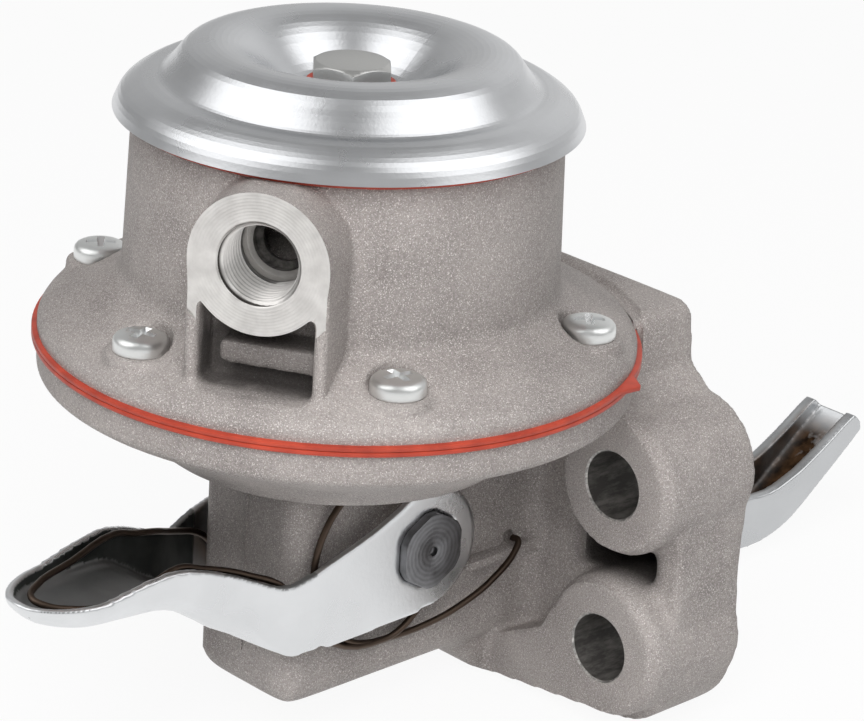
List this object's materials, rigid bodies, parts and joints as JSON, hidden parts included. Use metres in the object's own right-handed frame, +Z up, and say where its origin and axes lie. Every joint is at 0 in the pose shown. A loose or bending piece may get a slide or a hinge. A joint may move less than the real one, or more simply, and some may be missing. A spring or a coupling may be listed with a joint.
{
  "type": "mechanical diaphragm fuel pump",
  "caption": "Engine-driven diaphragm fuel pump with a pressed cover, threaded ports, side mounting flange, rocker arm and sprung hand priming lever.",
  "frame": {"origin": "centre of the four mounting holes on the engine face", "axes": "+X into the engine along the mounting studs, +Z up the diaphragm axis, Y along the pivot shafts"},
  "size_m": [0.1793, 0.0896, 0.1048],
  "materials": {
    "cast_body": "shot-blasted",
    "zinc": "bright zinc plate",
    "steel": "turned",
    "spring_wire": "oil black",
    "red_rubber": "smooth",
    "black_rubber": "smooth",
    "brass": "plain"
  },
  "bodies": {
    "housing": {"cover": "zinc", "cover_bolt": "zinc", "bolt_seal_washer": "red_rubber", "cover_gasket": "red_rubber", "strainer": "brass", "upper_body": "cast_body", "inlet_valve_seat": "brass", "inlet_valve_spring": "spring_wire", "inlet_valve_cage": "brass", "outlet_valve_seat": "brass", "outlet_valve_spring": "spring_wire", "outlet_valve_cage": "brass", "flange_screws": "zinc", "diaphragm": "red_rubber", "diaphragm_backing": "red_rubber", "diaphragm_spring": "spring_wire", "rod_seal": "black_rubber", "seal_retainer": "zinc", "lower_body": "cast_body", "rocker_pin": "steel", "pivot_washers": "steel", "pin_retainers": "zinc", "rocker_spring": "spring_wire", "lever_return_spring": "spring_wire"},
    "inlet_disc": {"inlet_valve_disc": "black_rubber"},
    "outlet_disc": {"outlet_valve_disc": "black_rubber"},
    "pull_rod_group": {"pull_rod": "steel", "upper_plate": "zinc", "lower_plate": "zinc"},
    "rocker": {"rocker_arm": "zinc"},
    "link": {"link_lever": "steel"},
    "primer": {"priming_shaft": "steel", "priming_lever": "zinc"}
  },
  "joints": [
    {"name": "rocker_pivot", "type": "hinge", "parent": "housing", "child": "rocker", "pos_m": [-0.023, 0, -0.006], "axis": [0, -1, 0], "range_deg": [0, 7], "stiffness_Nm_per_rad": 1.2, "deforming": ["rocker_spring"]},
    {"name": "link_pivot", "type": "hinge", "parent": "housing", "child": "link", "pos_m": [-0.023, 0, -0.006], "axis": [0, -1, 0], "range_deg": [0, 7.2]},
    {"name": "pull_rod_slide", "type": "slide", "parent": "housing", "child": "pull_rod_group", "axis": [0, 0, -1], "range_m": [0, 0.0031], "stiffness_N_per_m": 400, "springref_m": -0.004, "deforming": ["diaphragm", "diaphragm_backing", "diaphragm_spring"]},
    {"name": "priming_pivot", "type": "hinge", "parent": "housing", "child": "primer", "pos_m": [-0.0408, 0, 0.0025], "axis": [0, 1, 0], "range_deg": [0, 16], "stiffness_Nm_per_rad": 0.25, "springref_deg": -6.88, "deforming": ["lever_return_spring"]},
    {"name": "inlet_valve_lift", "type": "slide", "parent": "housing", "child": "inlet_disc", "axis": [0, 0, -1], "range_m": [0, 0.0012], "stiffness_N_per_m": 60, "springref_m": -0.0005, "deforming": ["inlet_valve_spring"]},
    {"name": "outlet_valve_lift", "type": "slide", "parent": "housing", "child": "outlet_disc", "axis": [0, 0, 1], "range_m": [0, 0.0012], "stiffness_N_per_m": 60, "springref_m": -0.0005, "deforming": ["outlet_valve_spring"]}
  ],
  "couplings": [
    {"joint": "link_pivot", "follows": "rocker_pivot", "ratio": 1},
    {"joint": "pull_rod_slide", "follows": "rocker_pivot", "m_per_rad": 0.025}
  ]
}
